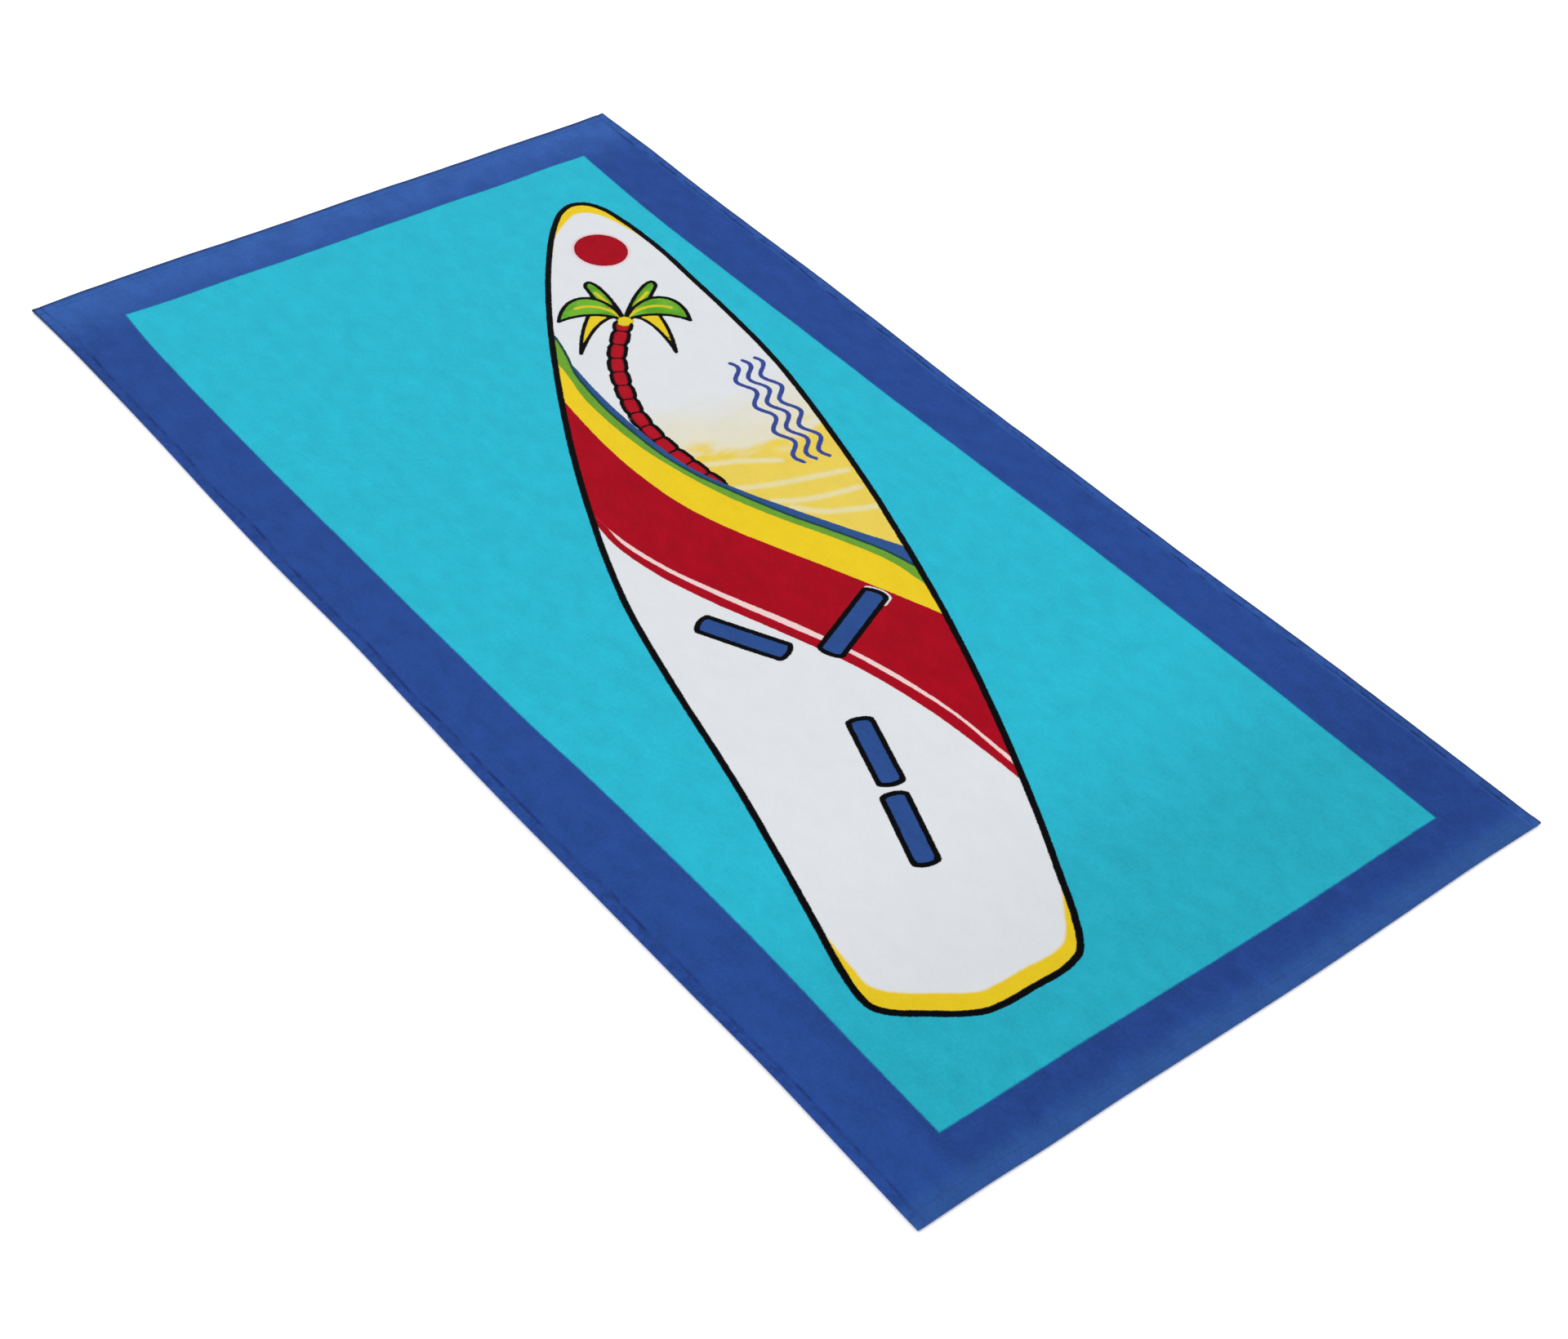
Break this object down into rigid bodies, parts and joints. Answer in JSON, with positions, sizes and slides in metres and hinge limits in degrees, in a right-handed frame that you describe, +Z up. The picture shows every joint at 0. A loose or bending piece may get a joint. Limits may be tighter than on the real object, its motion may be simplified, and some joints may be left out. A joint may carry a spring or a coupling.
{
  "type": "beach towel",
  "caption": "Flat rectangular velour beach towel with folded hems on all edges, cut pile face with a printed board picture, looped back.",
  "frame": {"origin": "centre of the underside, on the surface that the towel lies on", "axes": "+X across the towel to its right edge, +Y along its length to the end that the printed board's nose points to, +Z up out of the printed face"},
  "size_m": [0.76, 1.47, 0.0042],
  "materials": {
    "ground_cloth": "matte woven cotton",
    "face_velour": "printed cut pile, matte with a soft nap",
    "back_terry": "uncut loop pile, matte",
    "label_ribbon": "satin ribbon, blank",
    "hem_thread": "twisted polyester sewing thread"
  },
  "bodies": {
    "root": {"ground_weave": "ground_cloth", "velour_face_pile": "face_velour", "loop_back_pile": "back_terry", "care_label": "label_ribbon", "needle_thread_left": "hem_thread", "needle_thread_right": "hem_thread", "needle_thread_nose": "hem_thread", "needle_thread_tail": "hem_thread", "bobbin_thread_left": "hem_thread", "bobbin_thread_right": "hem_thread", "bobbin_thread_nose": "hem_thread", "bobbin_thread_tail": "hem_thread"}
  },
  "joints": []
}
